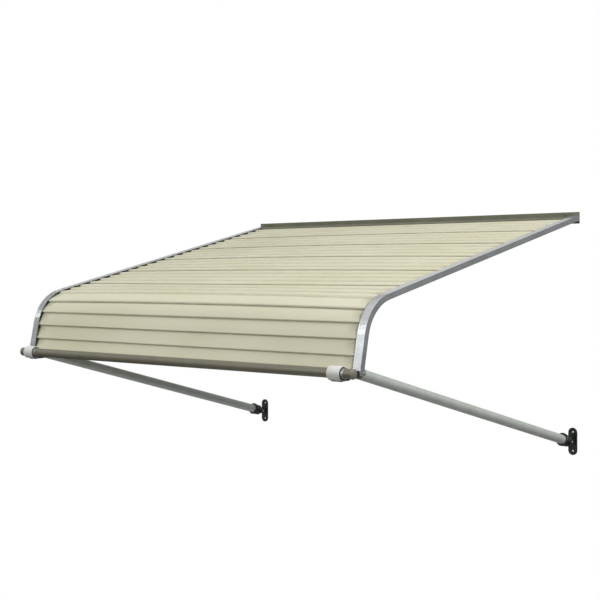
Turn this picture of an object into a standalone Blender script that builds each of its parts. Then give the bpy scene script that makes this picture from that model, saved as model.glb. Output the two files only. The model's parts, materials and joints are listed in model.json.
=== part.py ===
"""A solid door canopy: lapped aluminium slats in two bent side frames, hung on a wall rail, with a
round front bar in hangers and two support arms that pivot at the front corners and end in wall
brackets. Metres, +Z up. The wall is the plane y = 0, the canopy projects towards -Y, and X runs to
the right seen from the front. The origin is the middle of the rail's back face."""

import math

import bmesh
import bpy
from mathutils import Matrix, Vector

# Overall sizes
WIDTH = 1.372           # over the outer faces of the two side frames
PROJECTION = 1.067      # wall to the front face of the frames, at the bottom of the legs
LEG_DROP = 0.4325       # top of the rail to the bottom of the legs
SLOPE = math.radians(13.7)      # fall of the roof
LEAN = math.radians(11.3)       # the legs lean forward going down
BEND_RADIUS = 0.130     # outer radius of the bend between roof and leg
FRAME_TOP = 0.0098      # top of the rail down to where the frames' top face meets the wall
GAP = 0.0003            # clearance between pieces that touch

# Side frame section
FRAME_WIDTH = 0.0254
FRAME_DEPTH = 0.016
FLANGE = 0.002          # thickness of the top flange and of the side web
LEDGE = 0.0015          # the ledge that carries the slat ends
LEDGE_WIDTH = 0.020
FOOT_WIDTH = 0.004
EAR_RADIUS = 0.0065     # rounding of the web below the leg, round the pivot bolt
LEDGE_CUT = 0.0095      # how much shorter the ledge is than the front flange

# Slats
SHEET = 0.0008
LAP_PITCH = 0.0424
LAPS = 4                # laps rolled into one slat
ROOF_SLATS = 5
BEND_LAP = 0.049        # the last lap of the bend slat is longer
LAP_RISE = 0.005
LAP_RUN = 0.008         # length of the sloping riser at each butt on the roof
FRONT_RUN = 0.004       # the same on the front rows
LAP_NOSE = 0.0012       # softens the crest
FIRST_BUTT = 0.0265     # along the slope, from the wall to the strip's butt
SEAM_GAP = 0.0005       # between the leaves of an interlocked seam
SEAM_NOSE = 0.0022      # height at which the seam's butt turns under
SEAM_RETURN = 0.011     # leaf that turns back under the butt
HOOK_DEPTH = 0.013      # how far the next slat is tucked under
HOOK_LIP = 0.006
HEM = 0.0025            # the front slat's bottom edge, turned in
HEM_CLEAR = 0.0066      # from the bottom of the front flange up to the hem
CROWN = 0.005           # the roof slats stand this much higher in mid-width
BEND_CROWN = 0.006      # the same at the seam on the bend
CROWN_STEPS = 8

# Wall rail and head strip
RAIL_HEIGHT = 0.036
RAIL_WALL = 0.0018
SHELF_REACH = 0.014
RAIL_HOLE_RADIUS = 0.0026
RAIL_HOLE_DROP = 0.0075
RAIL_HOLE_INSET = 0.048
RAIL_HOLE_MIDDLE = -0.021       # the middle hole is off centre, as in the photograph
RAIL_SCREW_RADIUS = 0.004
RAIL_SCREW_HEAD = 0.0012

# Front bar and what holds it
TUBE_RADIUS = 0.0127
TUBE_WALL = 0.0015
BAR_FORWARD = 0.027     # bar axis in front of the frames' front face, at the bottom of the legs
BAR_BELOW = 0.0065      # bar axis below the bottom of the legs
BAR_INSET = 0.005       # the tube is this much shorter than the canopy at each end
BAR_SHIFT = 0.004       # it sits this far to the right of the middle
CAP_RADIUS = 0.0132
CAP_FLANGE = 0.002
CAP_DOME = 0.004
CAP_SPIGOT = 0.015
COLLAR_RADIUS = 0.0188
COLLAR_WALL = 0.0025
COLLAR_LENGTH = 0.041
COLLAR_INSET = 0.0315   # outer end of the collar, from the canopy's side
COLLAR_RECESS = 0.006   # the bushing sits this deep in the collar's ends
CRADLE_WALL = 0.002
CRADLE_START = math.radians(-88)
CRADLE_END = math.radians(30)
BOSS_RADIUS = 0.010

# Arms and wall brackets
ARM_RADIUS = 0.0143
ARM_INSET = 0.023       # arm axis inside the canopy's side
PIVOT_BACK = 0.0166     # pivot behind the outer face of the leg
PIVOT_BELOW = 0.0071    # pivot below the bottom of the leg
BOLT_RADIUS = 0.003
BOLT_HEAD_RADIUS = 0.0045
BOLT_HEAD = 0.0012
NUT_WIDTH = 0.010
NUT_HEIGHT = 0.005
SPACER_RADIUS = 0.007
KNUCKLE_BODY = 0.009
KNUCKLE_SPIGOT = 0.022
PIN_BACK = 0.020        # pivot pin in front of the wall
PIN_DROP = 0.7125
PIN_RADIUS = 0.0027
PIN_HEAD_RADIUS = 0.0042
PIN_HEAD = 0.0014
SOCKET_LENGTH = 0.050   # pin to the mouth of the socket
SOCKET_MOUTH = 0.0205
SOCKET_BODY = 0.0178
SOCKET_SHOULDER = 0.013     # pin to the closed end of the cup
SOCKET_FLOOR = 0.006
SOCKET_BEAD = 0.005
SOCKET_EDGE = 0.001     # rounding of the mouth's rim
TONGUE = 0.008
TONGUE_RADIUS = 0.0095
PLATE_LENGTH = 0.085
PLATE_WIDTH = 0.030
PLATE_THICKNESS = 0.005
PLATE_HOLE_RADIUS = 0.0025
PLATE_SINK_RADIUS = 0.0055
PLATE_HOLE_SPACING = 0.059
ROUND_PROFILE = 0.5     # a bevel's profile that is part of a circle
EAR_THICKNESS = 0.004

ROUND_STEPS = 32
BEND_STEPS = 12

# Worked out from the sizes above
SIDE = WIDTH / 2
TOP = RAIL_HEIGHT / 2
INNER_WEB = SIDE - FLANGE
SLAT_END = INNER_WEB - GAP
FLANGE_EDGE = SIDE - FRAME_WIDTH
SEAM_STEP = SHEET + SEAM_GAP
CREST = -(FLANGE + GAP + SHEET / 2)
VALLEY = CREST - LAP_RISE
LEDGE_TOP = VALLEY - SHEET / 2 - GAP
SLAT_LINE = (CREST + VALLEY) / 2
ARM_X = SIDE - ARM_INSET
BAR_Y = -PROJECTION - BAR_FORWARD
BAR_Z = TOP - LEG_DROP - BAR_BELOW
BAR_HALF = SIDE - BAR_INSET
COLLAR_OUT = SIDE - COLLAR_INSET
COLLAR_IN = COLLAR_OUT - COLLAR_LENGTH
HANGER_IN = COLLAR_IN + GAP
HANGER_OUT = ARM_X - ARM_RADIUS - 2 * GAP


# The side profile, as (y, z) vectors: a straight roof, a bend and a leaning leg

ROOF_RUN = Vector((-math.cos(SLOPE), -math.sin(SLOPE)))
ROOF_OUT = Vector((-math.sin(SLOPE), math.cos(SLOPE)))
LEG_RUN = Vector((-math.sin(LEAN), -math.cos(LEAN)))
LEG_OUT = Vector((-math.cos(LEAN), math.sin(LEAN)))
ROOF_START = Vector((0, TOP - FRAME_TOP))
LEG_END = Vector((-PROJECTION, TOP - LEG_DROP))


def cross(a, b):
    return a.x * b.y - a.y * b.x


BEND_ANGLE = ROOF_RUN.angle(LEG_RUN)
TANGENT = BEND_RADIUS * math.tan(BEND_ANGLE / 2)
SPAN = LEG_END - ROOF_START
ROOF_LENGTH = cross(SPAN, LEG_RUN) / cross(ROOF_RUN, LEG_RUN) - TANGENT
LEG_LENGTH = cross(SPAN, ROOF_RUN) / cross(ROOF_RUN, LEG_RUN) * -1 - TANGENT
BEND_CENTRE = ROOF_START + ROOF_RUN * ROOF_LENGTH - ROOF_OUT * BEND_RADIUS
LINE_RADIUS = BEND_RADIUS + SLAT_LINE
BEND_LENGTH = LINE_RADIUS * BEND_ANGLE
LEG_START = ROOF_LENGTH + BEND_LENGTH
LINE_END = LEG_START + LEG_LENGTH


def on_profile(s, n):
    """The point s along the line of the slats and n out from the frames' outer face."""
    if s < ROOF_LENGTH:
        return ROOF_START + ROOF_RUN * s + ROOF_OUT * n
    if s > LEG_START:
        return LEG_END + LEG_RUN * (s - LINE_END) + LEG_OUT * n
    turn = (s - ROOF_LENGTH) / LINE_RADIUS
    out = ROOF_OUT * math.cos(turn) + ROOF_RUN * math.sin(turn)
    return BEND_CENTRE + out * (BEND_RADIUS + n)


def s_at_wall(distance, n):
    """Where the line n out from the roof's face is this distance in front of the wall."""
    return (distance - n * math.sin(SLOPE)) / math.cos(SLOPE)


def crown(x, s):
    """How far the slats are arched outward here. It is nothing at the frames, the rail and the
    straight front rows."""
    reach = abs(x) / FLANGE_EDGE
    if reach >= 1:
        return 0.0
    across = 1 - reach * reach
    roof_end = FIRST_BUTT + ROOF_SLATS * LAPS * LAP_PITCH
    seam = roof_end + (LAPS - 1) * LAP_PITCH + BEND_LAP
    if s < roof_end:
        share = max(0.0, (s - FIRST_BUTT) / (roof_end - FIRST_BUTT))
        return CROWN * math.sin(math.pi * share) * across
    if s < seam:
        share = (s - roof_end) / (seam - roof_end)
        return BEND_CROWN * math.sin(math.pi / 2 * share) * across
    share = min(1.0, (s - seam) / LAP_PITCH)
    return BEND_CROWN * math.cos(math.pi / 2 * share) * across


# Scene, collections and materials

def clear_scene():
    for obj in list(bpy.data.objects):
        bpy.data.objects.remove(obj, do_unlink=True)


def new_collection(name):
    collection = bpy.data.collections.new(name)
    bpy.context.scene.collection.children.link(collection)
    return collection


def material(name, colour, roughness, metallic):
    made = bpy.data.materials.new(name)
    made.use_nodes = True
    shader = made.node_tree.nodes["Principled BSDF"]
    shader.inputs["Base Color"].default_value = (*colour, 1)
    shader.inputs["Roughness"].default_value = roughness
    shader.inputs["Metallic"].default_value = metallic
    made.diffuse_color = (*colour, 1)
    return made


def add_object(name, bm, finish, parent=None, matrix=None):
    """Turns the bmesh into a node of the canopy, shaded smooth where it is round."""
    mesh = bpy.data.meshes.new(name)
    bm.to_mesh(mesh)
    bm.free()
    mesh.shade_smooth()
    mesh.set_sharp_from_angle(angle=math.radians(35))
    obj = bpy.data.objects.new(name, mesh)
    parts.objects.link(obj)
    mesh.materials.append(finish)
    if matrix is not None:
        obj.matrix_world = matrix
    if parent is not None:
        obj.parent = parent
    return obj


def add_empty(name, location, turn=0.0, parent=None):
    empty = bpy.data.objects.new(name, None)
    empty.empty_display_size = 0.05
    parts.objects.link(empty)
    empty.location = location
    empty.rotation_euler = (turn, 0, 0)
    if parent is not None:
        empty.parent = parent
    return empty


def add_cutter(name, bm):
    mesh = bpy.data.meshes.new(name)
    bm.to_mesh(mesh)
    bm.free()
    obj = bpy.data.objects.new(name, mesh)
    cutters.objects.link(obj)
    obj.hide_render = True
    obj.display_type = "WIRE"
    return obj


def boolean(obj, other, operation="DIFFERENCE"):
    if other.name not in cutters.objects:
        raise ValueError("a Boolean's other shape belongs in the cutters")
    if obj.parent is not None:
        other.parent = obj.parent
    modifier = obj.modifiers.new(operation.title() + " " + other.name, "BOOLEAN")
    modifier.operation = operation
    modifier.solver = "EXACT"
    modifier.object = other


# Shapes

def prism_x(outline, start, end):
    """A closed (y, z) outline carried along X from start to end."""
    bm = bmesh.new()
    verts = [bm.verts.new((start, y, z)) for y, z in outline]
    face = bm.faces.new(verts)
    made = bmesh.ops.extrude_face_region(bm, geom=[face])
    moved = [item for item in made["geom"] if isinstance(item, bmesh.types.BMVert)]
    bmesh.ops.translate(bm, verts=moved, vec=(end - start, 0, 0))
    bmesh.ops.recalc_face_normals(bm, faces=bm.faces)
    return bm


def cylinder_x(radius, start, end, y=0.0, z=0.0, steps=ROUND_STEPS, radius_end=None):
    """A cylinder along X, or a cone where radius_end differs."""
    bm = bmesh.new()
    turn = Matrix.Rotation(math.pi / 2, 4, "Y")
    place = Matrix.Translation(((start + end) / 2, y, z)) @ turn
    far = radius if radius_end is None else radius_end
    bmesh.ops.create_cone(bm, cap_ends=True, segments=steps, radius1=radius, radius2=far,
                          depth=end - start, matrix=place)
    return bm


def add_cylinder_y(bm, radius, start, end, x, z, radius_end=None):
    """Adds a cylinder along Y, or a cone whose radius_end is at its higher y."""
    turn = Matrix.Rotation(-math.pi / 2, 4, "X")
    place = Matrix.Translation((x, (start + end) / 2, z)) @ turn
    far = radius if radius_end is None else radius_end
    bmesh.ops.create_cone(bm, cap_ends=True, segments=ROUND_STEPS, radius1=radius, radius2=far,
                          depth=end - start, matrix=place)


def turned(name, profile, finish, matrix, parent=None):
    """Spins a closed profile of (radius, height) points round Z, then places it. The profile runs
    down its outer side, top to bottom."""
    bm = bmesh.new()
    verts = [bm.verts.new((radius, 0, height)) for radius, height in profile]
    for first, second in zip(verts, verts[1:]):
        bm.edges.new((first, second))
    if profile[0][0] > 0 or profile[-1][0] > 0:
        bm.edges.new((verts[-1], verts[0]))
    obj = add_object(name, bm, finish, parent, matrix)
    screw = obj.modifiers.new("Turn", "SCREW")
    screw.axis = "Z"
    screw.steps = ROUND_STEPS
    screw.render_steps = ROUND_STEPS
    screw.use_merge_vertices = True
    screw.merge_threshold = 0.00001
    screw.use_smooth_shade = True
    return obj


def along_x(x, y, z, side):
    """Puts a turned piece's Z along X, pointing outward on this side."""
    return Matrix.Translation((x, y, z)) @ Matrix.Rotation(side * math.pi / 2, 4, "Y")


def along_y(distance=0.0):
    """Puts a turned piece's Z along its parent's +Y."""
    return Matrix.Translation((0, distance, 0)) @ Matrix.Rotation(-math.pi / 2, 4, "X")


def arc(centre, radius, start, end, steps):
    """Points of an arc in (y, z), angles from +Y towards +Z."""
    points = []
    for step in range(steps + 1):
        angle = start + (end - start) * step / steps
        points.append(centre + Vector((math.cos(angle), math.sin(angle))) * radius)
    return points


def mirrored(outline, side):
    """Keeps a loop's winding when its x changes sign."""
    return outline if side > 0 else outline[::-1]


# The wall rail and the head strip

def wall_rail():
    """An F section: the flange on the wall, and a sloping shelf under the frames' ends."""
    shelf_top = -(FRAME_DEPTH + GAP)
    shelf_low = shelf_top - RAIL_WALL
    outline = [
        Vector((0, TOP)),
        Vector((0, TOP - RAIL_HEIGHT)),
        Vector((-RAIL_WALL, TOP - RAIL_HEIGHT)),
        on_profile(s_at_wall(RAIL_WALL, shelf_low), shelf_low),
        on_profile(s_at_wall(SHELF_REACH, shelf_low), shelf_low),
        on_profile(s_at_wall(SHELF_REACH, shelf_top), shelf_top),
        on_profile(s_at_wall(RAIL_WALL, shelf_top), shelf_top),
        Vector((-RAIL_WALL, TOP)),
    ]
    rail = add_object("wall_rail", prism_x(outline, -SIDE, SIDE), dark_alloy)
    holes = bmesh.new()
    drop = TOP - RAIL_HOLE_DROP
    places = (-SIDE + RAIL_HOLE_INSET, RAIL_HOLE_MIDDLE, SIDE - RAIL_HOLE_INSET)
    for number, x in enumerate(places):
        add_cylinder_y(holes, RAIL_HOLE_RADIUS, -4 * RAIL_WALL, 4 * RAIL_WALL, x, drop)
        rail_screw(f"rail_screw_{number + 1}", Matrix.Translation((x, 0, drop)) @ along_y())
    boolean(rail, add_cutter("rail_holes", holes))


def rail_screw(name, place):
    """A low round head on the rail's flange. The shank stops flush with the rail's back."""
    shank = RAIL_HOLE_RADIUS - GAP
    seat = -RAIL_WALL - GAP
    profile = [
        (0, -GAP),
        (shank, -GAP),
        (shank, seat),
        (RAIL_SCREW_RADIUS, seat),
        (RAIL_SCREW_RADIUS * 0.8, seat - RAIL_SCREW_HEAD * 0.8),
        (0, seat - RAIL_SCREW_HEAD),
    ]
    turned(name, profile, dark_alloy, place)


def slat_stations():
    """The x positions along a slat: its two ends, and the crowned stretch between the frames."""
    inner = [FLANGE_EDGE * (2 * step / CROWN_STEPS - 1) for step in range(CROWN_STEPS + 1)]
    return [-SLAT_END] + inner + [SLAT_END]


def refined(profile):
    """Adds points to the stretches that lie on the bend."""
    points = [profile[0]]
    longest = LINE_RADIUS * BEND_ANGLE / BEND_STEPS
    for (s0, n0), (s1, n1) in zip(profile, profile[1:]):
        on_bend = max(s0, s1) > ROOF_LENGTH and min(s0, s1) < LEG_START
        count = max(1, math.ceil(abs(s1 - s0) / longest)) if on_bend else 1
        for step in range(1, count + 1):
            points.append((s0 + (s1 - s0) * step / count, n0 + (n1 - n0) * step / count))
    return points


def sheet(name, profile, finish):
    """A bent sheet: the profile is carried along X in steps, arched by the crown, and thickened."""
    stations = slat_stations()
    bm = bmesh.new()
    row = [bm.verts.new((stations[0], 0, 0)) for _ in profile]
    edges = [bm.edges.new(pair) for pair in zip(row, row[1:])]
    rows = [row]
    for _ in stations[1:]:
        made = bmesh.ops.extrude_edge_only(bm, edges=edges)["geom"]
        edges = [item for item in made if isinstance(item, bmesh.types.BMEdge)
                 and all(vert in made for vert in item.verts)]
        rows.append(ordered(edges))
    for x, verts in zip(stations, rows):
        for vert, (s, n) in zip(verts, profile):
            y, z = on_profile(s, n + crown(x, s))
            vert.co = (x, y, z)
    bmesh.ops.recalc_face_normals(bm, faces=bm.faces)
    obj = add_object(name, bm, finish)
    solidify = obj.modifiers.new("Gauge", "SOLIDIFY")
    solidify.thickness = SHEET
    solidify.offset = 0
    solidify.use_even_offset = True
    return obj


def ordered(edges):
    """The vertices along a chain of edges that were extruded in order."""
    verts = list(edges[0].verts)
    if len(edges) > 1 and verts[0] in edges[1].verts:
        verts.reverse()
    for edge in edges[1:]:
        verts.append(edge.other_vert(verts[-1]))
    return verts


def butt(end, run=LAP_RUN):
    """The riser at a slat's lower edge, and the leaf that turns back under it."""
    return [
        (end - run, CREST),
        (end - run + LAP_NOSE, CREST - LAP_NOSE / 3),
        (end, VALLEY + SEAM_NOSE),
        (end, VALLEY + SEAM_STEP),
        (end - SEAM_RETURN, VALLEY + SEAM_STEP),
    ]


def hook(start):
    """The tucked edge at a slat's top, folded over the leaf of the slat above."""
    lip = VALLEY + 2 * SEAM_STEP
    return [
        (start - HOOK_DEPTH + HOOK_LIP, lip),
        (start - HOOK_DEPTH, lip),
        (start - HOOK_DEPTH, VALLEY),
    ]


def laps_between(starts, run=LAP_RUN):
    """The valleys and crests of the laps that lie inside one slat."""
    points = [(starts[0], VALLEY)]
    for start in starts[1:]:
        points += [
            (start - run, CREST),
            (start - run + LAP_NOSE, CREST - LAP_NOSE / 3),
            (start, VALLEY),
        ]
    return points


def head_strip():
    """The strip that closes the joint with the rail and holds the first slat's hook."""
    stand = RAIL_WALL + GAP + SHEET / 2
    profile = [(s_at_wall(stand, VALLEY), VALLEY), (s_at_wall(stand, CREST), CREST)]
    sheet("head_strip", profile + butt(FIRST_BUTT), dark_alloy)


def roof_slats():
    for number in range(ROOF_SLATS):
        first = FIRST_BUTT + number * LAPS * LAP_PITCH
        starts = [first + lap * LAP_PITCH for lap in range(LAPS)]
        profile = hook(first) + laps_between(starts) + butt(first + LAPS * LAP_PITCH)
        sheet(f"roof_slat_{number + 1}", profile, almond)


def bend_and_front_slats():
    """The slat that turns the bend, and the front slat down to its hem above the bar."""
    first = FIRST_BUTT + ROOF_SLATS * LAPS * LAP_PITCH
    starts = [first + lap * LAP_PITCH for lap in range(LAPS)]
    seam = starts[-1] + BEND_LAP
    bend = hook(first) + laps_between(starts) + butt(seam, FRONT_RUN)
    sheet("bend_slat", refined(bend), almond)
    rows = [seam + lap * LAP_PITCH for lap in range(LAPS)]
    end = LINE_END - HEM_CLEAR
    rise = LAP_RISE * (end - rows[-1]) / (LAP_PITCH - FRONT_RUN)
    hem = [(end, VALLEY + rise), (end, VALLEY + rise - HEM)]
    sheet("front_slat", refined(hook(seam) + laps_between(rows, FRONT_RUN) + hem), almond)


# The side frames

def frame_section():
    """The F-shaped section, as (distance in from the outer face, n) corners."""
    foot_top = -(FRAME_DEPTH - LEDGE)
    ledge_low = LEDGE_TOP - LEDGE
    return [
        (0, 0),
        (0, -FRAME_DEPTH),
        (FLANGE + FOOT_WIDTH, -FRAME_DEPTH),
        (FLANGE + FOOT_WIDTH, foot_top),
        (FLANGE, foot_top),
        (FLANGE, ledge_low),
        (FLANGE + LEDGE_WIDTH, ledge_low),
        (FLANGE + LEDGE_WIDTH, LEDGE_TOP),
        (FLANGE, LEDGE_TOP),
        (FLANGE, -FLANGE),
        (FRAME_WIDTH, -FLANGE),
        (FRAME_WIDTH, 0),
    ]


def frame_stations():
    """Places along the profile: None marks the end that is cut parallel to the wall."""
    bend = [ROOF_LENGTH + BEND_LENGTH * step / BEND_STEPS for step in range(BEND_STEPS + 1)]
    return [None] + bend + [LINE_END]


def swept_frame(side):
    """The section carried down the roof, round the bend and down the leg."""
    section = mirrored(frame_section(), side)
    bm = bmesh.new()
    loops = []
    for station in frame_stations():
        loop = []
        for inset, n in section:
            s = s_at_wall(RAIL_WALL + GAP, n) if station is None else station
            y, z = on_profile(s, n)
            loop.append(bm.verts.new((side * (SIDE - inset), y, z)))
        loops.append([bm.edges.new(pair) for pair in zip(loop, loop[1:] + loop[:1])])
    for first, second in zip(loops, loops[1:]):
        bmesh.ops.bridge_loops(bm, edges=first + second)
    bmesh.ops.holes_fill(bm, edges=loops[0] + loops[-1], sides=0)
    bmesh.ops.recalc_face_normals(bm, faces=bm.faces)
    return bm


def ear_outline():
    """The side web carried on below the leg, with a rounded bottom round the pivot bolt."""
    back = on_profile(LINE_END - LEDGE_CUT, -FRAME_DEPTH)
    front = on_profile(LINE_END - LEDGE_CUT, 0)
    nose = PIVOT - Vector(((PIVOT_BACK - EAR_RADIUS) / math.cos(LEAN), 0))
    steps = ROUND_STEPS // 4
    rim = arc(nose, EAR_RADIUS, math.pi - LEAN, 3 * math.pi / 2, steps)
    rim += arc(PIVOT, EAR_RADIUS, -math.pi / 2, math.radians(20), steps)
    return [front] + rim + [back]


def side_frame(label, side):
    frame = add_object(f"{label}_side_frame", swept_frame(side), bright_alloy)
    outer, inner = side * SIDE, side * INNER_WEB
    ear = prism_x(ear_outline(), min(outer, inner), max(outer, inner))
    boolean(frame, add_cutter(f"{label}_ear", ear), "UNION")
    beyond = side * (FLANGE_EDGE - FLANGE)
    room = [
        on_profile(LINE_END - LEDGE_CUT, -FLANGE),
        on_profile(LINE_END - LEDGE_CUT, -2 * FRAME_DEPTH),
        on_profile(LINE_END + FRAME_DEPTH, -2 * FRAME_DEPTH),
        on_profile(LINE_END + FRAME_DEPTH, -FLANGE),
    ]
    cut = prism_x(room, min(inner, beyond), max(inner, beyond))
    boolean(frame, add_cutter(f"{label}_arm_room", cut))
    hole = cylinder_x(BOLT_RADIUS + GAP, min(outer, inner) - FLANGE, max(outer, inner) + FLANGE,
                      *PIVOT)
    boolean(frame, add_cutter(f"{label}_ear_hole", hole))


# The front bar, its collars and hangers

def front_bar():
    inner = TUBE_RADIUS - TUBE_WALL
    profile = [(TUBE_RADIUS, BAR_HALF), (TUBE_RADIUS, -BAR_HALF), (inner, -BAR_HALF),
               (inner, BAR_HALF)]
    turned("front_bar", profile, bar_coat, along_x(BAR_SHIFT, BAR_Y, BAR_Z, 1))


def bar_cap(label, side):
    """A plug with a low dome, pushed into the bar's end."""
    face = CAP_FLANGE + CAP_DOME
    spigot = TUBE_RADIUS - TUBE_WALL - GAP
    profile = [
        (0, face),
        (CAP_RADIUS * 0.35, face - CAP_DOME * 0.1),
        (CAP_RADIUS * 0.65, face - CAP_DOME * 0.35),
        (CAP_RADIUS * 0.88, face - CAP_DOME * 0.7),
        (CAP_RADIUS, CAP_FLANGE),
        (CAP_RADIUS, GAP),
        (spigot, GAP),
        (spigot, -CAP_SPIGOT),
        (0, -CAP_SPIGOT),
    ]
    place = along_x(side * BAR_HALF + BAR_SHIFT, BAR_Y, BAR_Z, side)
    turned(f"{label}_bar_cap", profile, grey_plastic, place)


def bar_collar(label, side):
    """The white collar, a short piece of pipe, and the black bushing that centres it on the bar."""
    half = COLLAR_LENGTH / 2
    inner = COLLAR_RADIUS - COLLAR_WALL
    soft = COLLAR_WALL / 4
    profile = [
        (COLLAR_RADIUS - soft, half),
        (COLLAR_RADIUS, half - soft),
        (COLLAR_RADIUS, -half + soft),
        (COLLAR_RADIUS - soft, -half),
        (inner, -half),
        (inner, half),
    ]
    place = along_x(side * (COLLAR_OUT + COLLAR_IN) / 2, BAR_Y, BAR_Z, side)
    turned(f"{label}_bar_collar", profile, white_plastic, place)
    length = half - COLLAR_RECESS
    rim, bore = inner - GAP, TUBE_RADIUS + GAP
    ring = [(rim, length), (rim, -length), (bore, -length), (bore, length)]
    turned(f"{label}_bar_bushing", ring, black_plastic, place)


def hanger_outline():
    """The cradle under and behind the collar, and the arm back to the pivot bolt."""
    bar = Vector((BAR_Y, BAR_Z))
    inner = COLLAR_RADIUS + GAP
    outer = inner + CRADLE_WALL
    reach = (PIVOT - bar).x
    top_leave, low_leave = math.radians(18), math.radians(-72)
    boss_top, boss_low = math.radians(95), math.radians(-60)
    outline = arc(bar, inner, CRADLE_START, CRADLE_END, 16)
    outline += arc(bar, outer, CRADLE_END, top_leave, 4)
    outline += arc(PIVOT, BOSS_RADIUS, boss_top, boss_low, 14)
    outline.append(bar + Vector((reach * 0.7, -outer * 0.92)))
    outline += arc(bar, outer, low_leave, CRADLE_START, 5)
    return outline


def bar_hanger(label, side):
    start, end = sorted((side * HANGER_IN, side * HANGER_OUT))
    hanger = add_object(f"{label}_bar_hanger", prism_x(hanger_outline(), start, end),
                        black_plastic)
    hole = cylinder_x(BOLT_RADIUS + GAP, start - FLANGE, end + FLANGE, *PIVOT)
    boolean(hanger, add_cutter(f"{label}_hanger_hole", hole))


# The corner pivots

def pivot_bolt(label, side):
    """A pan-head bolt from outside the frame to the hanger, with its nut and the arm's spacer."""
    seat = SIDE + GAP
    tip = HANGER_IN - 2 * NUT_HEIGHT
    profile = [
        (0, seat + BOLT_HEAD),
        (BOLT_HEAD_RADIUS * 0.6, seat + BOLT_HEAD * 0.9),
        (BOLT_HEAD_RADIUS, seat + BOLT_HEAD * 0.35),
        (BOLT_HEAD_RADIUS, seat),
        (BOLT_RADIUS, seat),
        (BOLT_RADIUS, tip),
        (0, tip),
    ]
    turned(f"{label}_pivot_bolt", profile, zinc, along_x(0, *PIVOT, side))
    far = side * (HANGER_IN - GAP)
    near = side * (HANGER_IN - GAP - NUT_HEIGHT)
    nut = cylinder_x(NUT_WIDTH / math.sqrt(3), min(far, near), max(far, near), *PIVOT, steps=6)
    made = add_object(f"{label}_pivot_nut", nut, zinc)
    bore = cylinder_x(BOLT_RADIUS + GAP, min(far, near) - NUT_HEIGHT,
                      max(far, near) + NUT_HEIGHT, *PIVOT)
    boolean(made, add_cutter(f"{label}_nut_bore", bore))
    bore_radius = BOLT_RADIUS + GAP
    start, end = ARM_X + ARM_RADIUS + GAP, INNER_WEB - GAP
    ring = [(SPACER_RADIUS, end), (SPACER_RADIUS, start), (bore_radius, start),
            (bore_radius, end)]
    turned(f"{label}_arm_spacer", ring, grey_plastic, along_x(0, *PIVOT, side))


# The arms. Each hangs on an empty at its corner pivot, whose +Y runs down the tube to the wall.

def arm_tube(label, pivot):
    start = KNUCKLE_BODY + GAP
    end = ARM_LENGTH - SOCKET_SHOULDER - SOCKET_FLOOR - GAP
    inner = ARM_RADIUS - TUBE_WALL
    profile = [(ARM_RADIUS, end), (ARM_RADIUS, start), (inner, start), (inner, end)]
    turned(f"{label}_arm", profile, arm_coat, along_y(), pivot)


def arm_knuckle(label, pivot):
    """The rounded end of the arm: a dome about the pivot, and a spigot in the tube."""
    dome = [Vector((ARM_RADIUS * math.sin(a), -ARM_RADIUS * math.cos(a)))
            for a in (math.pi / 2 * step / 8 for step in range(9))]
    spigot = ARM_RADIUS - TUBE_WALL - GAP
    profile = [
        (0, KNUCKLE_BODY + KNUCKLE_SPIGOT),
        (spigot, KNUCKLE_BODY + KNUCKLE_SPIGOT),
        (spigot, KNUCKLE_BODY),
        (ARM_RADIUS, KNUCKLE_BODY),
    ] + [(point.x, point.y) for point in reversed(dome)]
    knuckle = turned(f"{label}_arm_knuckle", profile, bar_coat, along_y(), pivot)
    hole = cylinder_x(BOLT_RADIUS + GAP, -2 * ARM_RADIUS, 2 * ARM_RADIUS)
    boolean(knuckle, add_cutter(f"{label}_knuckle_hole", hole))


def tongue_outline(radius, reach):
    """A tab with a round end about the origin, running reach along -Y."""
    return arc(Vector((0, 0)), radius, math.radians(-90), math.radians(90), 12) + [
        Vector((-reach, radius)),
        Vector((-reach, -radius)),
    ]


def arm_socket(label, pivot):
    """The black cup on the arm's wall end, with a tongue that the pin passes through."""
    mouth = -SOCKET_LENGTH
    floor = -SOCKET_SHOULDER - SOCKET_FLOOR
    bore = ARM_RADIUS + GAP
    profile = [
        (0, -SOCKET_SHOULDER),
        (SOCKET_BODY * 0.8, -SOCKET_SHOULDER),
        (SOCKET_BODY, floor),
        (SOCKET_BODY + SOCKET_EDGE, mouth + 2 * SOCKET_BEAD),
        (SOCKET_MOUTH, mouth + SOCKET_BEAD),
        (SOCKET_MOUTH, mouth + SOCKET_EDGE),
        (SOCKET_MOUTH - SOCKET_EDGE, mouth),
        (bore + SOCKET_EDGE, mouth),
        (bore, mouth + SOCKET_EDGE),
        (bore, floor),
        (0, floor),
    ]
    socket = turned(f"{label}_arm_socket", profile, black_cast, along_y(ARM_LENGTH), pivot)
    tongue = prism_x(tongue_outline(TONGUE_RADIUS, SOCKET_SHOULDER + SOCKET_FLOOR / 2),
                     -TONGUE / 2, TONGUE / 2)
    bmesh.ops.translate(tongue, verts=tongue.verts, vec=(0, ARM_LENGTH, 0))
    boolean(socket, add_cutter(f"{label}_tongue", tongue), "UNION")
    hole = cylinder_x(PIN_RADIUS + GAP, -TONGUE, TONGUE, ARM_LENGTH, 0)
    boolean(socket, add_cutter(f"{label}_tongue_hole", hole))


# The wall brackets. Each hangs on an empty at its pin, and is upright at rest.

def plate_outline():
    """The long plate with round ends, as (x, z) about the pin."""
    radius = PLATE_WIDTH / 2
    straight = PLATE_LENGTH / 2 - radius
    top = arc(Vector((0, straight)), radius, 0, math.pi, 14)
    low = arc(Vector((0, -straight)), radius, math.pi, 2 * math.pi, 14)
    return top + low


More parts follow.
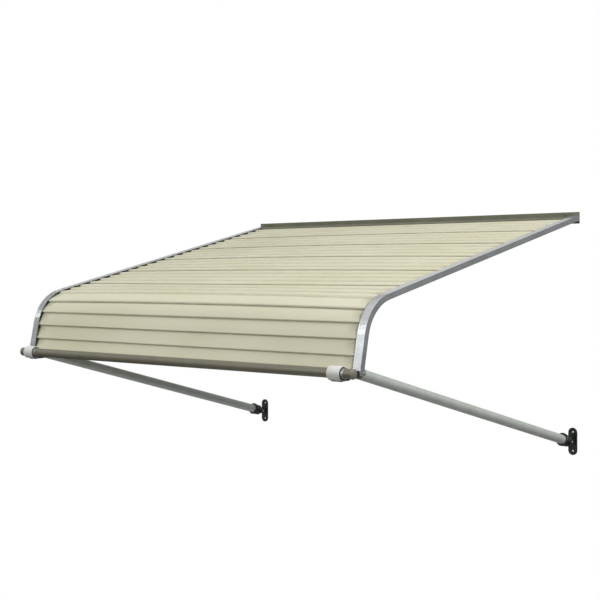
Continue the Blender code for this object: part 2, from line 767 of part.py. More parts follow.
def bracket_plate():
    """The plate standing on the wall, its front edge softened."""
    back = PIN_BACK
    bm = bmesh.new()
    face = bm.faces.new([bm.verts.new((x, back, z)) for x, z in plate_outline()])
    made = bmesh.ops.extrude_face_region(bm, geom=[face])
    moved = [item for item in made["geom"] if isinstance(item, bmesh.types.BMVert)]
    bmesh.ops.translate(bm, verts=moved, vec=(0, -PLATE_THICKNESS, 0))
    rim = [edge for edge in bm.edges if all(vert in moved for vert in edge.verts)]
    bmesh.ops.bevel(bm, geom=rim, offset=PLATE_THICKNESS / 4, segments=2,
                    profile=ROUND_PROFILE, affect="EDGES")
    bmesh.ops.recalc_face_normals(bm, faces=bm.faces)
    return bm


def wall_bracket(label, pin):
    """The plate, with two ears that hold the pin, and two countersunk holes."""
    plate = add_object(f"{label}_wall_bracket", bracket_plate(), black_cast, pin)
    front = PIN_BACK - PLATE_THICKNESS
    holes = bmesh.new()
    for z in (-PLATE_HOLE_SPACING / 2, PLATE_HOLE_SPACING / 2):
        add_cylinder_y(holes, PLATE_HOLE_RADIUS, front - 0.001, PIN_BACK + 0.001, 0, z)
    for number, inner in enumerate((TONGUE / 2 + GAP, -TONGUE / 2 - GAP - EAR_THICKNESS)):
        tab = [Vector((-point.x, point.y)) for point in
               tongue_outline(TONGUE_RADIUS, front + PLATE_THICKNESS / 2)]
        ear = prism_x(tab, inner, inner + EAR_THICKNESS)
        boolean(plate, add_cutter(f"{label}_bracket_ear_{number + 1}", ear), "UNION")
    boolean(plate, add_cutter(f"{label}_plate_holes", holes))
    sinks = bmesh.new()
    for z in (-PLATE_HOLE_SPACING / 2, PLATE_HOLE_SPACING / 2):
        add_cylinder_y(sinks, PLATE_SINK_RADIUS + 0.001, front - 0.001,
                       front + PLATE_SINK_RADIUS - PLATE_HOLE_RADIUS, 0, z, PLATE_HOLE_RADIUS)
    boolean(plate, add_cutter(f"{label}_plate_sinks", sinks))
    wide = TONGUE + 4 * EAR_THICKNESS
    bore = cylinder_x(PIN_RADIUS + GAP, -wide, wide)
    boolean(plate, add_cutter(f"{label}_pin_bore", bore))


def bracket_pin(label, side, pin):
    """The pin through the ears and the tongue, headed at both ends."""
    half = TONGUE / 2 + GAP + EAR_THICKNESS + GAP
    profile = [
        (0, half + PIN_HEAD),
        (PIN_HEAD_RADIUS * 0.7, half + PIN_HEAD),
        (PIN_HEAD_RADIUS, half + PIN_HEAD * 0.5),
        (PIN_HEAD_RADIUS, half),
        (PIN_RADIUS, half),
        (PIN_RADIUS, -half),
        (PIN_HEAD_RADIUS, -half),
        (PIN_HEAD_RADIUS * 0.7, -half - PIN_HEAD / 2),
        (0, -half - PIN_HEAD / 2),
    ]
    turned(f"{label}_bracket_pin", profile, zinc, along_x(0, 0, 0, side), pin)


def support_arm(label, side):
    """One arm from its corner pivot to the wall, with the bracket on its pin."""
    corner = add_empty(f"{label}_corner_pivot", (side * ARM_X, *PIVOT), -ARM_SLOPE)
    arm_tube(label, corner)
    arm_knuckle(label, corner)
    arm_socket(label, corner)
    pin = add_empty(f"{label}_pin_pivot", (0, ARM_LENGTH, 0), ARM_SLOPE, corner)
    wall_bracket(label, pin)
    bracket_pin(label, side, pin)


def pivot_point():
    """The corner pivot in (y, z), below the leg and PIVOT_BACK behind the leg's face."""
    down = (PIVOT_BELOW - PIVOT_BACK * math.sin(LEAN)) / math.cos(LEAN)
    return LEG_END + LEG_RUN * down - LEG_OUT * PIVOT_BACK


PIVOT = pivot_point()
ARM_REACH = Vector((-PIN_BACK, TOP - PIN_DROP)) - PIVOT
ARM_LENGTH = ARM_REACH.length
ARM_SLOPE = math.atan2(-ARM_REACH.y, ARM_REACH.x)

clear_scene()
parts = new_collection("solid_door_canopy")
cutters = new_collection("cutters")

almond = material("almond painted aluminium", (0.62, 0.61, 0.47), 0.45, 0.0)
bright_alloy = material("mill finish aluminium", (0.60, 0.61, 0.62), 0.35, 0.9)
dark_alloy = material("dark painted aluminium", (0.11, 0.12, 0.09), 0.5, 0.2)
bar_coat = material("taupe painted tube", (0.15, 0.14, 0.10), 0.45, 0.2)
arm_coat = material("galvanised tube", (0.42, 0.44, 0.42), 0.45, 0.7)
white_plastic = material("white vinyl", (0.78, 0.78, 0.75), 0.4, 0.0)
grey_plastic = material("grey nylon", (0.28, 0.28, 0.27), 0.5, 0.0)
black_plastic = material("black nylon", (0.02, 0.02, 0.018), 0.5, 0.0)
black_cast = material("black painted casting", (0.012, 0.016, 0.014), 0.35, 0.0)
zinc = material("zinc plated steel", (0.55, 0.55, 0.54), 0.35, 1.0)

wall_rail()
head_strip()
roof_slats()
bend_and_front_slats()
front_bar()
for label, side in (("left", -1), ("right", 1)):
    side_frame(label, side)
    bar_cap(label, side)
    bar_collar(label, side)
    bar_hanger(label, side)
    pivot_bolt(label, side)
    support_arm(label, side)
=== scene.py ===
# %% [markdown]
# # A solid door canopy, from frame to finish
#
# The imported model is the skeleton: every bracket, tube and slat is already in its place, in metres.
# This lesson leaves those pieces where they are. It lays finer surfaces over the ones that show
# their rolled or turned shape, gives each piece the finish of the real metal or plastic, and sets
# up a camera and a plain studio.

import json
import math

import bpy
import numpy as np
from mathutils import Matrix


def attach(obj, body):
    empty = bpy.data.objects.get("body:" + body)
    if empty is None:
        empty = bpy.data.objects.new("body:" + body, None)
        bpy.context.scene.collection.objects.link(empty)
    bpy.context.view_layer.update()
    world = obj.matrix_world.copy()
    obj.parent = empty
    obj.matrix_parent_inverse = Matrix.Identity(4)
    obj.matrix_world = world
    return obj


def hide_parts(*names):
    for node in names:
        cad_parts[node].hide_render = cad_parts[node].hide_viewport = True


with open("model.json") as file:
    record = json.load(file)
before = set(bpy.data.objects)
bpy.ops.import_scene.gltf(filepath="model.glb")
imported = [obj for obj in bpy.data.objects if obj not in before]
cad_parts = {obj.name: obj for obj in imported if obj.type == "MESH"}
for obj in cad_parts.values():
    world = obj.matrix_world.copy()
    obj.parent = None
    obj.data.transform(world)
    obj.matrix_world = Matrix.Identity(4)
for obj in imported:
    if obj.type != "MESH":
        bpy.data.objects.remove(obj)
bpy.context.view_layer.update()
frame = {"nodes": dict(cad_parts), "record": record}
nodes = frame["nodes"]

# %% [markdown]
# ## Colours
#
# Paint charts and photographs give colours as sRGB hex values, while a shader works in linear
# light. The values could be turned by hand, but then nobody could compare them with the
# photograph any more, so one function does it and the hex values stay in the script.


# %% From sRGB to linear light
def linear(hex_colour):
    """The sRGB curve, undone: v / 12.92 near black, else ((v + 0.055) / 1.055) to the power 2.4."""
    value = np.array([int(hex_colour[i:i + 2], 16) for i in (1, 3, 5)]) / 255
    low = value / 12.92
    high = ((value + 0.055) / 1.055) ** 2.4
    return (*np.where(value <= 0.04045, low, high).tolist(), 1.0)


print("the grey #808080 is", round(linear("#808080")[0], 3), "in linear light")

# %% [markdown]
# ## Nodes
#
# A material is a small network of nodes. Each could be made in four or five lines, or by a
# function of its own. Here one small function adds any node, sets its options, and either fills
# in or links each of its sockets, so that a whole finish still reads from top to bottom.


# %% Adding a node
def add_node(tree, kind, sockets=None, **options):
    """Adds one shader node. A socket's value is a number or colour, or another node's output."""
    made = tree.nodes.new("ShaderNode" + kind)
    for name, value in options.items():
        setattr(made, name, value)
    for name, value in (sockets or {}).items():
        if isinstance(value, bpy.types.NodeSocket):
            tree.links.new(value, made.inputs[name])
        else:
            made.inputs[name].default_value = value
    return made


def new_finish(name):
    """An empty node material: its tree, and its Principled shader."""
    finish = bpy.data.materials.new(name)
    finish.use_nodes = True
    tree = finish.node_tree
    return finish, tree, tree.nodes["Principled BSDF"]


print("node helpers ready")

# %% [markdown]
# ## The camera
#
# The photograph was taken level, from in front and to the right of the canopy, a little below its
# rail. A level camera keeps the upright edges parallel, and a small vertical shift puts the
# horizon where the photograph has it, instead of tilting the camera. The Standard view shows each
# colour as it is and keeps white white.

# %% Camera
CAMERA_PLACE = (2.6639, -3.4656, -0.1755)
CAMERA_YAW = math.radians(42.253)
FOCAL_PIXELS = 1257.645
IMAGE_PIXELS = 600
HORIZON_ROW = 274.36
SENSOR_WIDTH = 36.0

lens = bpy.data.cameras.new("photograph_camera")
lens.sensor_width = SENSOR_WIDTH
lens.lens = FOCAL_PIXELS / IMAGE_PIXELS * SENSOR_WIDTH
lens.shift_y = (HORIZON_ROW - IMAGE_PIXELS / 2) / IMAGE_PIXELS
camera = bpy.data.objects.new("photograph_camera", lens)
bpy.context.scene.collection.objects.link(camera)
camera.location = CAMERA_PLACE
camera.rotation_euler = (math.pi / 2, 0, CAMERA_YAW)
bpy.context.scene.camera = camera
bpy.context.scene.view_settings.view_transform = "Standard"
print("lens", round(lens.lens, 2), "mm, shift", round(lens.shift_y, 4))

# %% [markdown]
# ## The floor
#
# A canopy hangs about two metres above the ground. A round pale floor lies that far below it and
# catches its shadow. A backdrop isn't needed, because the world behind it is white.

# %% Floor
FLOOR_DROP = 2.1
FLOOR_RADIUS = 1.8
FLOOR_SIDES = 96
FLOOR_MIDDLE = (0, -0.5, -FLOOR_DROP)

bpy.ops.mesh.primitive_circle_add(vertices=FLOOR_SIDES, radius=FLOOR_RADIUS, fill_type="NGON",
                                  location=FLOOR_MIDDLE)
floor = bpy.context.object
floor.name = "floor"
floor_paint, _, floor_shader = new_finish("matt pale floor paint")
floor_shader.inputs["Base Color"].default_value = linear("#DCDCDA")
floor_shader.inputs["Roughness"].default_value = 0.9
floor.data.materials.append(floor_paint)
print("floor", 2 * FLOOR_RADIUS, "m across,", FLOOR_DROP, "m down")

# %% [markdown]
# ## The lamps
#
# In the photograph the light is soft. The roof is the brightest, the front rows are a little
# darker, and the left arm is in the canopy's shade. Three square soft boxes give that: one
# overhead, one in front, and one on the right. Spot lamps would give the shadows hard edges.

# %% Soft boxes
MIDDLE = (0, -0.55, -0.3)


def soft_box(name, place, size, watts):
    """A square area lamp at a place, turned towards the middle of the canopy."""
    lamp = bpy.data.lights.new(name, "AREA")
    lamp.size = size
    lamp.energy = watts
    holder = bpy.data.objects.new(name, lamp)
    bpy.context.scene.collection.objects.link(holder)
    holder.location = place
    away = np.array(MIDDLE) - np.array(place)
    yaw = math.atan2(away[1], away[0]) - math.pi / 2
    pitch = math.atan2(away[2], math.hypot(away[0], away[1]))
    holder.rotation_euler = (math.pi / 2 + pitch, 0, yaw)


soft_box("overhead_box", (0.3, -1.3, 3.0), 3.0, 18)
soft_box("front_box", (-0.5, -4.3, 1.5), 2.0, 66)
soft_box("side_box", (3.3, -0.5, 1.6), 1.4, 66)
print(len(bpy.data.lights), "soft boxes")

# %% [markdown]
# ## The world
#
# The camera sees a plain white world. The world that lights the canopy is dimmer and fades out
# downwards, as on a shaded porch. What the metal and the glossy paint reflect is white too, but
# not everywhere alike, since even white makes metal look like grey paint. It fades below the
# horizon, on the far left, and towards the wall, and one brighter band gives the glint that bent
# aluminium has. All of it follows directions in the room, so it stays when the camera moves.

# %% What lights the canopy
SHADE_BELOW, SHADE_ABOVE = 0.03, 0.45

world = bpy.data.worlds.new("studio")
bpy.context.scene.world = world
world.use_nodes = True
sky = world.node_tree
sky.nodes.clear()
seen = add_node(sky, "LightPath")
direction = add_node(sky, "TexCoord").outputs["Generated"]
towards = add_node(sky, "SeparateXYZ", {0: direction}).outputs
share = add_node(sky, "MapRange", {"Value": towards["Z"], "From Min": 0.0, "From Max": 0.6,
                                   "To Min": SHADE_BELOW, "To Max": SHADE_ABOVE})
shade = add_node(sky, "Background", {"Color": (1, 1, 1, 1), "Strength": share.outputs["Result"]})
print("strength", SHADE_ABOVE, "high up, and", SHADE_BELOW, "from the horizon down")

# %% What metal and gloss reflect
BAND_HEIGHT, BAND_HALF, BAND_GAIN = 0.37, 0.035, 2.6

low_side = add_node(sky, "MapRange", {"Value": towards["Z"], "From Min": -0.35, "From Max": 0.1,
                                      "To Min": 0.05, "To Max": 1.0})
open_side = add_node(sky, "MapRange", {"Value": towards["X"], "From Min": -0.85,
                                       "From Max": -0.6, "To Min": 0.36, "To Max": 1.1})
wall_side = add_node(sky, "MapRange", {"Value": towards["Y"], "From Min": 0.1, "From Max": 0.85,
                                       "To Min": 1.0, "To Max": 0.28})
above = add_node(sky, "Math", {0: open_side.outputs["Result"], 1: low_side.outputs["Result"]},
                 operation="MULTIPLY")
even = add_node(sky, "Math", {0: above.outputs[0], 1: wall_side.outputs["Result"]},
                operation="MULTIPLY")
on_band = add_node(sky, "Math", {0: towards["Z"], 1: BAND_HEIGHT, 2: BAND_HALF},
                   operation="COMPARE")
band = add_node(sky, "Math", {0: on_band.outputs[0], 1: wall_side.outputs["Result"]},
                operation="MULTIPLY")
gloss = add_node(sky, "Math", {0: band.outputs[0], 1: BAND_GAIN, 2: even.outputs[0]},
                 operation="MULTIPLY_ADD")
mirror = add_node(sky, "Background", {"Color": (1, 1, 1, 1), "Strength": gloss.outputs[0]})
lit = add_node(sky, "MixShader", {0: seen.outputs["Is Glossy Ray"], 1: shade.outputs[0],
                                  2: mirror.outputs[0]})
print("bright band", round(math.degrees(math.asin(BAND_HEIGHT))), "degrees above the horizon")

# %% What the camera sees
white = add_node(sky, "Background", {"Color": (1, 1, 1, 1), "Strength": 1.0})
clear = add_node(sky, "Math", {0: seen.outputs["Is Camera Ray"],
                               1: seen.outputs["Is Transmission Ray"]}, operation="MAXIMUM")
both = add_node(sky, "MixShader", {0: clear.outputs[0], 1: lit.outputs[0], 2: white.outputs[0]})
add_node(sky, "OutputWorld", {"Surface": both.outputs[0]})
print(len(sky.nodes), "nodes in the world")

# %% [markdown]
# ## Surfaces from two parameters
#
# Every new piece is a grid of points worked out by numpy. A sheet is a profile carried along X,
# and a turned piece is a profile carried round an axis. Both start from a line with sharp corners.
# A bending tool or a file leaves a small round there, and so does the first function. A Bevel
# would do it on the finished mesh, but the second function has to divide the rounded line.

# %% Lines
SIDE_SHARE = 0.45


def rounded(points, radius, steps=4):
    """Replaces each corner of a line by a curve: q(t) = (1-t)^2 a + 2 t (1-t) p + t^2 b, where a
    and b lie on the two sides of the corner p, at most radius or a share of the side away."""
    points = np.asarray(points, float)
    t = np.linspace(0, 1, steps + 1)[:, None]
    curve = [points[:1]]
    for before, corner, after in zip(points, points[1:], points[2:]):
        back, on = before - corner, after - corner
        lengths = [np.linalg.norm(way) for way in (back, on)]
        reach = min(radius, *(SIDE_SHARE * length for length in lengths))
        a, b = corner + back / lengths[0] * reach, corner + on / lengths[1] * reach
        curve.append((1 - t) ** 2 * a + 2 * t * (1 - t) * corner + t * t * b)
    curve.append(points[-1:])
    return np.concatenate(curve)


def refined(line, longest=0.004):
    """Divides each stretch of a line evenly, so that none is longer than this."""
    pieces = [line[:1]]
    for a, b in zip(line, line[1:]):
        count = max(1, math.ceil(np.linalg.norm(b - a) / longest))
        pieces.append(a + (b - a) * (np.arange(1, count + 1) / count)[:, None])
    return np.concatenate(pieces)


print("a rounded right angle has", len(rounded([(0, 0), (1, 0), (1, 1)], 0.1)), "points")

# %% [markdown]
# ## From grid to mesh
#
# One function numbers the squares of a grid. A second makes the mesh, gives a sheet its thickness
# with Solidify, and keeps only real edges sharp. A sheet can store one number at each of its
# points for its finish, because a pattern on it has to follow the laps.

# %% Grids into meshes
SHARP_ANGLE = math.radians(40)


def grid_faces(rows, columns, close_rows=False, close_columns=False):
    """The corner numbers of every square of a grid of points, wrapped round where it closes."""
    i = np.arange(rows if close_rows else rows - 1)[:, None]
    j = np.arange(columns if close_columns else columns - 1)[None, :]
    up, right = (i + 1) % rows, (j + 1) % columns
    corners = [i * columns + j, up * columns + j, up * columns + right, i * columns + right]
    return np.stack(corners, axis=-1).reshape(-1, 4)


def grid_piece(name, points, faces, thickness=0.0, dust_and_shade=None):
    """A mesh piece from an array of points and the corners of its squares. A sheet gets its
    thickness from Solidify, and its dust and painted shade are stored at each point for its finish."""
    mesh = bpy.data.meshes.new(name)
    mesh.from_pydata(points.reshape(-1, 3), [], faces)
    # Each point's dust and painted shade, when given, is stored on the mesh.
    if dust_and_shade is not None:
        held = mesh.attributes.new("dust_and_shade", "FLOAT", "POINT")
        held.data.foreach_set("value", dust_and_shade.astype(np.float32).ravel())
    piece = bpy.data.objects.new(name, mesh)
    bpy.context.scene.collection.objects.link(piece)
    if thickness:
        gauge = piece.modifiers.new("Gauge", "SOLIDIFY")
        gauge.thickness = thickness
        gauge.offset = 0
        gauge.use_even_offset = True
        solid = piece.evaluated_get(bpy.context.evaluated_depsgraph_get())
        mesh = bpy.data.meshes.new_from_object(solid)
        piece.modifiers.clear()
        piece.data = mesh
    mesh.shade_smooth()
    mesh.set_sharp_from_angle(angle=SHARP_ANGLE)
    return piece


print("a grid of 3 by 4 points has", len(grid_faces(3, 4)), "squares")

# %% [markdown]
# ## The line of the roof
#
# On the real canopy two F-shaped aluminium extrusions are bent once, and the slats lie between
# them. So the roof is one line in the side view: straight and sloping down from the wall, round a
# bend, and down a leg that leans out. The two straight parts are found from where they start and
# end, and the bend fills the corner between them.

# %% Sizes of the roof
WIDTH, PROJECTION, LEG_DROP = 1.372, 1.067, 0.4325
SLOPE, LEAN = math.radians(13.7), math.radians(11.3)
BEND_RADIUS, FRAME_TOP, RAIL_TOP = 0.130, 0.0098, 0.018
FRAME_WIDTH, FLANGE, GAP = 0.0254, 0.002, 0.0003
SIDE = WIDTH / 2
SLAT_END = SIDE - FLANGE - GAP
FLANGE_EDGE = SIDE - FRAME_WIDTH
print("the sheets are", round(2 * SLAT_END, 4), "m wide, and", round(2 * FLANGE_EDGE, 4), "m show")

# %% The line itself
ROOF_RUN = np.array([-math.cos(SLOPE), -math.sin(SLOPE)])
ROOF_OUT = np.array([-math.sin(SLOPE), math.cos(SLOPE)])
LEG_RUN = np.array([-math.sin(LEAN), -math.cos(LEAN)])
LEG_OUT = np.array([-math.cos(LEAN), math.sin(LEAN)])
ROOF_START = np.array([0, RAIL_TOP - FRAME_TOP])
LEG_END = np.array([-PROJECTION, RAIL_TOP - LEG_DROP])
BEND_ANGLE = math.acos(float(ROOF_RUN @ LEG_RUN))
TANGENT = BEND_RADIUS * math.tan(BEND_ANGLE / 2)
roof_part, leg_part = np.linalg.solve(np.column_stack([ROOF_RUN, LEG_RUN]), LEG_END - ROOF_START)
ROOF_LENGTH, LEG_LENGTH = roof_part - TANGENT, leg_part - TANGENT
BEND_CENTRE = ROOF_START + ROOF_RUN * ROOF_LENGTH - ROOF_OUT * BEND_RADIUS
print("roof", round(ROOF_LENGTH, 3), "m, leg", round(LEG_LENGTH, 3), "m")

# %% [markdown]
# ## The slats
#
# Each slat is a strip of painted sheet that runs between the two side frames. On the real thing
# a rolling mill presses four laps into it, folds a hook along its upper edge, and turns its lower
# edge back under, so that each slat hangs on the one above. The profile is drawn in two numbers:
# s, the way down the roof, round the bend and down the front, and n, the height off the frames'
# face. The sheet is arched in mid-width, as a long thin strip is when it is pushed into place.

# %% Sizes of the slats
SHEET, LAP_PITCH, LAPS, ROOF_SLATS, BEND_LAP = 0.0008, 0.0424, 4, 5, 0.049
LAP_RISE, LAP_RUN, FRONT_RUN, LAP_NOSE = 0.005, 0.008, 0.004, 0.0012
FIRST_BUTT, SEAM_GAP, SEAM_NOSE, SEAM_RETURN = 0.0265, 0.0005, 0.0022, 0.011
HOOK_DEPTH, HOOK_LIP, HEM, HEM_CLEAR = 0.013, 0.006, 0.0025, 0.0036
CROWN, BEND_CROWN = 0.005, 0.006
CREST = -(FLANGE + GAP + SHEET / 2)
VALLEY = CREST - LAP_RISE
SEAM_STEP = SHEET + SEAM_GAP
LINE_RADIUS = BEND_RADIUS + (CREST + VALLEY) / 2
LEG_START = ROOF_LENGTH + LINE_RADIUS * BEND_ANGLE
LINE_END = LEG_START + LEG_LENGTH
ROOF_END = FIRST_BUTT + ROOF_SLATS * LAPS * LAP_PITCH
SEAM = ROOF_END + (LAPS - 1) * LAP_PITCH + BEND_LAP
print("the last seam is", round(SEAM, 3), "m down the line of", round(LINE_END, 3), "m")


# %% Where a point of the profile lies
def on_profile(s, n):
    """y and z of the points s along and n out. On the bend, with turn = (s - roof) / R, the point
    is centre + (cos(turn) roof_out + sin(turn) roof_run) (radius + n)."""
    s, n = s[..., None], n[..., None]
    roof = ROOF_START + ROOF_RUN * s + ROOF_OUT * n
    leg = LEG_END + LEG_RUN * (s - LINE_END) + LEG_OUT * n
    turn = (s - ROOF_LENGTH) / LINE_RADIUS
    bend = BEND_CENTRE + (ROOF_OUT * np.cos(turn) + ROOF_RUN * np.sin(turn)) * (BEND_RADIUS + n)
    return np.where(s < ROOF_LENGTH, roof, np.where(s > LEG_START, leg, bend))


def crown(x, s):
    """The arch: (1 - (x / half width)^2) times a height that rises and falls along the roof as
    sin(pi share), grows to its most at the seam on the bend, and is gone one lap below it."""
    across = np.clip(1 - (x / FLANGE_EDGE) ** 2, 0, None)
    on_roof = CROWN * np.sin(np.pi * np.clip((s - FIRST_BUTT) / (ROOF_END - FIRST_BUTT), 0, 1))
    on_bend = BEND_CROWN * np.sin(np.pi / 2 * (s - ROOF_END) / (SEAM - ROOF_END))
    below = BEND_CROWN * np.cos(np.pi / 2 * np.clip((s - SEAM) / LAP_PITCH, 0, 1))
    return across * np.where(s < ROOF_END, on_roof, np.where(s < SEAM, on_bend, below))


print("arch at the seam", 1000 * BEND_CROWN, "mm")


# %% Laps, butt and hook
def butt(end, run):
    """The riser at a slat's lower edge, and the leaf that turns back under it."""
    return [(end - run, CREST), (end - run + LAP_NOSE, CREST - LAP_NOSE / 3),
            (end, VALLEY + SEAM_NOSE), (end, VALLEY + SEAM_STEP),
            (end - SEAM_RETURN, VALLEY + SEAM_STEP)]


def hook(start):
    """The tucked edge at a slat's top, folded over the leaf of the slat above."""
    lip = VALLEY + 2 * SEAM_STEP
    return [(start - HOOK_DEPTH + HOOK_LIP, lip), (start - HOOK_DEPTH, lip),
            (start - HOOK_DEPTH, VALLEY)]


def laps_between(starts, run):
    """The valleys and crests of the laps inside one slat."""
    points = [(starts[0], VALLEY)]
    for start in starts[1:]:
        points += [(start - run, CREST), (start - run + LAP_NOSE, CREST - LAP_NOSE / 3),
                   (start, VALLEY)]
    return points


print("a hook is", 1000 * HOOK_DEPTH, "mm deep, its leaves", 1000 * SEAM_GAP, "mm apart")

# %% [markdown]
# ## Dust and painted shade on the slats
#
# Outdoors, dust stays where rain doesn't reach it: just below each lap line, and under the edges
# of the frames. The same dark colour also stands for shade: on the riser of each lap, and in the
# shadow that the frames' flanges cast, most of all into the valleys. An image could show it, but
# it has to follow the sheet, so each point of the sheet stores how much dust and painted shade
# lies there.

# %% Dust and painted shade at each point
# The first pair sets the dust and painted shade along each lap line, with the riser painted darker as
# if in shade.
LINE_DUST_AND_SHADE, DUST_AND_SHADE_REACH = 0.6, 0.0025
# These set the painted shadow that the frames' flanges cast into the slats' valleys, with some dust.
EDGE_SHADOW_AND_DUST, CREST_REACH, VALLEY_REACH = 2.0, 0.002, 0.010


def dust_and_shade_at(across, s, n, lines, run):
    """Dust and painted shade of the points, as the larger of two. Along the sheet it is thickest
    at each lap line and falls off as exp(-d / reach) below it, and over a third of the riser above
    it, which is painted darker as if in shade. Under the frames a painted shadow of the flanges,
    with some dust, falls off as exp(-(d / reach)^2) from the flange's edge, with a reach that
    grows with the square root of the depth under the crests."""
    gaps = s[..., None] - np.array(lines)
    below, riser = np.exp(-gaps / DUST_AND_SHADE_REACH), np.exp(gaps / (run / 3))
    on_lines = np.where(gaps >= 0, below, riser).max(axis=-1)
    # Painted shadow of the flanges, with some dust, reaching furthest into the valleys.
    depth = np.clip((CREST - n) / LAP_RISE, 0, 1)
    reach = CREST_REACH + VALLEY_REACH * np.sqrt(depth)
    away = np.clip(FLANGE_EDGE - np.abs(across), 0, None)
    return np.maximum(LINE_DUST_AND_SHADE * on_lines, EDGE_SHADOW_AND_DUST * np.exp(-(away / reach) ** 2))


# The dust and the painted shade below a lap line fall off together.
print("dust falls to about a third within", 1000 * DUST_AND_SHADE_REACH, "mm below a lap line")

# %% [markdown]
# ## One slat
#
# The profile is rounded as a bending tool leaves it, divided, and carried across the roof in
# columns, which lie closer together by the frames, where the dust and the painted shadow of the
# flanges change quickly. The finished sheet stands for its CAD node and moves with the canopy.

# %% A function for a slat
LAP_CORNER = 0.0011
COLUMNS, COLUMN_MARGIN = 43, 0.012
NEAR_FRAME = (0.008, 0.004, 0.0)


def slat(name, profile, lines, run):
    """A sheet whose point at column x and profile (s, n) is x, then the profile's y and z with
    the arch added to n."""
    line = refined(rounded(profile, LAP_CORNER))
    side = np.linspace(-FLANGE_EDGE + COLUMN_MARGIN, FLANGE_EDGE - COLUMN_MARGIN, COLUMNS)
    brink = np.array([FLANGE_EDGE - inside for inside in NEAR_FRAME] + [SLAT_END])
    x = np.concatenate([-brink[::-1], side, brink])
    s, n = (column[:, None] + 0 * x[None, :] for column in (line[:, 0], line[:, 1]))
    across = np.broadcast_to(x[None, :], s.shape)
    place = on_profile(s, n + crown(across, s))
    points = np.concatenate([across[..., None], place], axis=-1)
    # The sheet stores its dust and painted shade at each point.
    piece = grid_piece(name + "_sheet", points, grid_faces(len(line), len(x)), SHEET,
                       dust_and_shade_at(across, s, n, lines, run))
    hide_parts(name)
    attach(piece, "canopy")
    return piece


print(COLUMNS + 2 * (len(NEAR_FRAME) + 1), "columns in a slat")

# %% Roll the roof's slats
slats = []
for number in range(ROOF_SLATS):
    first = FIRST_BUTT + number * LAPS * LAP_PITCH
    starts = [first + lap * LAP_PITCH for lap in range(LAPS)]
    shape = hook(first) + laps_between(starts, LAP_RUN) + butt(first + LAPS * LAP_PITCH, LAP_RUN)
    slats.append(slat(f"roof_slat_{number + 1}", shape, starts + [starts[-1] + LAP_PITCH],
                      LAP_RUN))
print(len(slats), "slats on the roof")

# %% [markdown]
# ## The bend and the front
#
# The slat that turns the bend has one longer row, and the front slat has three full rows and a
# part of a fourth. Its lower edge, the hem, is turned in just above the front bar. The front's
# risers are half as long as the roof's, which makes its lap lines sharper. The last row is cut
# short, so its hem stands at the height that the row's slope has reached there.

# %% Roll the bend's and the front's slats
starts = [ROOF_END + lap * LAP_PITCH for lap in range(LAPS)]
shape = hook(ROOF_END) + laps_between(starts, LAP_RUN) + butt(SEAM, FRONT_RUN)
slats.append(slat("bend_slat", shape, starts + [SEAM], LAP_RUN))
rows = [SEAM + lap * LAP_PITCH for lap in range(LAPS)]
end = LINE_END - HEM_CLEAR
rise = LAP_RISE * (end - rows[-1]) / (LAP_PITCH - FRONT_RUN)
hem = [(end, VALLEY + rise), (end, VALLEY + rise - HEM)]
slats.append(slat("front_slat", hook(SEAM) + laps_between(rows, FRONT_RUN) + hem, rows,
                  FRONT_RUN))
print(len(slats), "slats,", sum(len(piece.data.polygons) for piece in slats), "faces")

# %% [markdown]
# ## Turned pieces
#
# The front bar is a drawn tube, and the collars on it are short cuts of white pipe, each with a
# grey metal sleeve at its right-hand end. Cylinders would have knife-sharp rims. Here each is its
# profile, as radius and distance along the bar, carried round with its cut edges softened.

# %% A function for a turned piece
ROUND_STEPS = 96
X_AXIS = np.array([1.0, 0, 0])
FIRST_WAY = np.array([0, -0.8, 0.6])
NEXT_WAY = np.array([0, -0.6, -0.8])


def turned(name, profile, middle, node, body, soften=0.0004):
    """Carries a closed profile of (radius, distance) round a line along X: p = middle + distance x
    + radius (cos t u + sin t v), where the first way u and the next way v are square to x."""
    line = rounded(profile + profile[:2], soften)[1:-1]
    angle = np.linspace(0, 2 * np.pi, ROUND_STEPS, endpoint=False)
    round_way = np.cos(angle)[:, None] * FIRST_WAY + np.sin(angle)[:, None] * NEXT_WAY
    points = middle + line[:, None, 1:] * X_AXIS + line[:, None, :1] * round_way[None]
    faces = grid_faces(len(line), len(angle), close_rows=True, close_columns=True)
    piece = grid_piece(name, points, faces)
    if node is not None:
        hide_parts(node)
    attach(piece, body)
    return piece


def pipe(radius, wall, start, end):
    """The four corners of a pipe's wall, outside first."""
    return [(radius, end), (radius - wall, end), (radius - wall, start), (radius, start)]


print(ROUND_STEPS, "steps round a tube")

# %% The front bar
TUBE_RADIUS, TUBE_WALL = 0.0127, 0.0015
BAR_BELOW, BAR_FORWARD, BAR_INSET, BAR_SHIFT = 0.0065, 0.027, 0.005, 0.004
BAR_HALF = SIDE - BAR_INSET
BAR_LINE = np.array([0, -PROJECTION - BAR_FORWARD, RAIL_TOP - LEG_DROP - BAR_BELOW])

bar = turned("front_bar_tube", pipe(TUBE_RADIUS, TUBE_WALL, -BAR_HALF, BAR_HALF),
             BAR_LINE + BAR_SHIFT * X_AXIS, "front_bar", "canopy")
print("front bar", round(2 * BAR_HALF, 3), "m long")

# %% Collars and their sleeves
COLLAR_RADIUS, COLLAR_WALL, COLLAR_LENGTH, COLLAR_INSET = 0.0188, 0.0025, 0.041, 0.0315
SLEEVE_HEIGHT, SLEEVE_WALL, SLEEVE_INSIDE, SLEEVE_OUTSIDE = 0.0011, 0.0008, 0.0055, 0.009
COLLAR_SOFTEN, SLEEVE_SOFTEN = 0.0008, 0.0002
HALF = COLLAR_LENGTH / 2

